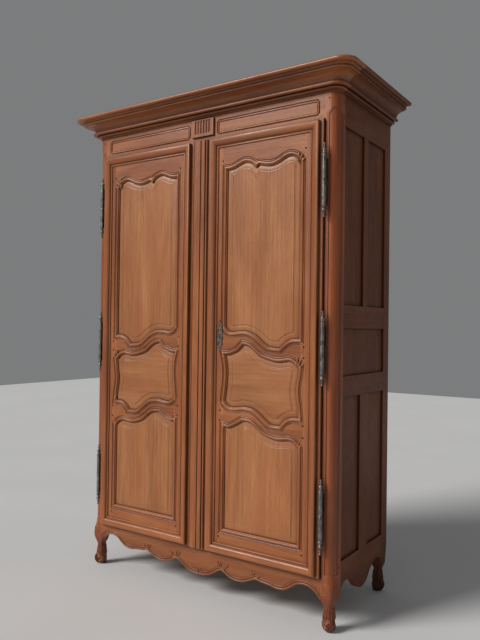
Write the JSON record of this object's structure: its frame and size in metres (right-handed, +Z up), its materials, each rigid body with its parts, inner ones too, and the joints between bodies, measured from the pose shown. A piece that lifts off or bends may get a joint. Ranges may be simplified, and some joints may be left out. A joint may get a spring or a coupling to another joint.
{
  "type": "armoire",
  "caption": "Tall walnut wardrobe with serpentine panelled doors on finial hinges, moulded cornice, scalloped apron and scroll feet; doors and bolts move.",
  "frame": {"origin": "centre of the whole footprint, cornice included, on the floor", "axes": "+Z up; +X to the right as seen from the front; the doors face -Y"},
  "size_m": [1.499, 0.644, 2.195],
  "materials": {
    "case_wood": "waxed walnut, satin, darker in the hollows",
    "door_wood": "waxed walnut, satin, worn edges",
    "panel_wood": "waxed walnut, satin, plain grain",
    "inner_wood": "dry, unpolished boards",
    "peg_wood": "dark end grain",
    "hinge_steel": "burnished steel, dulled in the turnings",
    "lock_iron": "old dark iron"
  },
  "bodies": {
    "case": {"front_post_left": "case_wood", "front_post_right": "case_wood", "rear_post_left": "case_wood", "rear_post_right": "case_wood", "frieze_rail": "case_wood", "fluted_block": "case_wood", "apron_rail": "case_wood", "side_top_rail_left": "case_wood", "side_top_rail_right": "case_wood", "side_mid_rails": "case_wood", "side_bottom_rail_left": "case_wood", "side_bottom_rail_right": "case_wood", "side_muntins": "case_wood", "side_panels_left": "panel_wood", "side_panels_right": "panel_wood", "back_rails": "inner_wood", "back_boards": "inner_wood", "floor_boards": "inner_wood", "ceiling_boards": "inner_wood", "cornice_front": "case_wood", "cornice_sides": "case_wood", "shelves": "inner_wood", "cleats": "inner_wood", "case_pegs": "peg_wood", "hinge_pintles": "hinge_steel"},
    "left_door": {"left_hinge_stile": "door_wood", "left_meeting_stile": "door_wood", "left_top_rail": "door_wood", "left_upper_mid_rail": "door_wood", "left_lower_mid_rail": "door_wood", "left_bottom_rail": "door_wood", "left_upper_panel": "panel_wood", "left_middle_panel": "panel_wood", "left_lower_panel": "panel_wood", "left_moulding": "door_wood", "centre_batten": "door_wood", "left_pegs": "peg_wood", "left_hinge_knuckles": "hinge_steel", "bolt_guides": "lock_iron", "lock_keeper": "lock_iron"},
    "right_door": {"right_hinge_stile": "door_wood", "right_lock_stile": "door_wood", "right_top_rail": "door_wood", "right_upper_mid_rail": "door_wood", "right_lower_mid_rail": "door_wood", "right_bottom_rail": "door_wood", "right_upper_panel": "panel_wood", "right_middle_panel": "panel_wood", "right_lower_panel": "panel_wood", "right_moulding": "door_wood", "right_pegs": "peg_wood", "right_hinge_knuckles": "hinge_steel", "escutcheon": "lock_iron", "lock_case": "lock_iron"},
    "top_bolt": {"top_bolt": "lock_iron"},
    "bottom_bolt": {"bottom_bolt": "lock_iron"},
    "lock_bolt": {"lock_bolt": "lock_iron"}
  },
  "joints": [
    {"name": "left_door_hinge", "type": "hinge", "parent": "case", "child": "left_door", "pos_m": [-0.606, -0.245, 0], "axis": [0, 0, -1], "range_deg": [0, 165]},
    {"name": "right_door_hinge", "type": "hinge", "parent": "case", "child": "right_door", "pos_m": [0.606, -0.245, 0], "axis": [0, 0, 1], "range_deg": [0, 165]},
    {"name": "lock_bolt_slide", "type": "slide", "parent": "right_door", "child": "lock_bolt", "axis": [-1, 0, 0], "range_m": [0, 0.022]},
    {"name": "top_bolt_slide", "type": "slide", "parent": "left_door", "child": "top_bolt", "axis": [0, 0, 1], "range_m": [0, 0.022]},
    {"name": "bottom_bolt_slide", "type": "slide", "parent": "left_door", "child": "bottom_bolt", "axis": [0, 0, -1], "range_m": [0, 0.022]}
  ]
}
